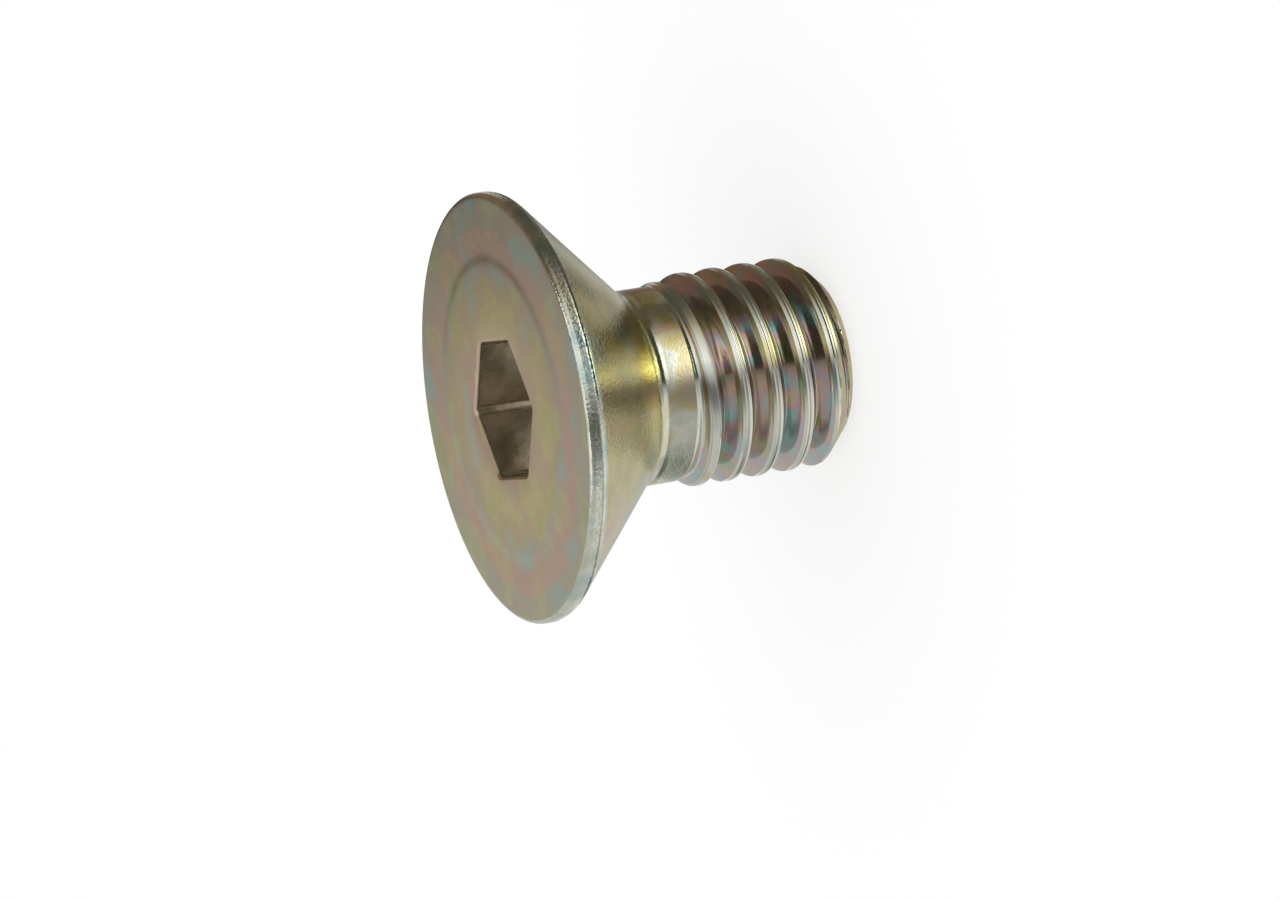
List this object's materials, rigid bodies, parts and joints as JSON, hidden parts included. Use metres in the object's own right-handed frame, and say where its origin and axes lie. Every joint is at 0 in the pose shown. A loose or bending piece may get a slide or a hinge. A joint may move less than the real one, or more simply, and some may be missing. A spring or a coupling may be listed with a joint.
{
  "type": "countersunk hexagon socket screw",
  "caption": "Short countersunk screw with a hexagon socket and a coarse right-hand thread, in iridescent yellow-passivated zinc.",
  "frame": {"origin": "centre of the flat end face of the screw's point, the lowest face as the screw stands", "axes": "+Z along the screw's axis from the point to the head's flat face; +X out of one flat of the hexagon socket to within 3 degrees"},
  "size_m": [0.016, 0.016, 0.0127],
  "materials": {
    "plated_steel": "satin"
  },
  "bodies": {
    "root": {"screw": "plated_steel"}
  },
  "joints": []
}
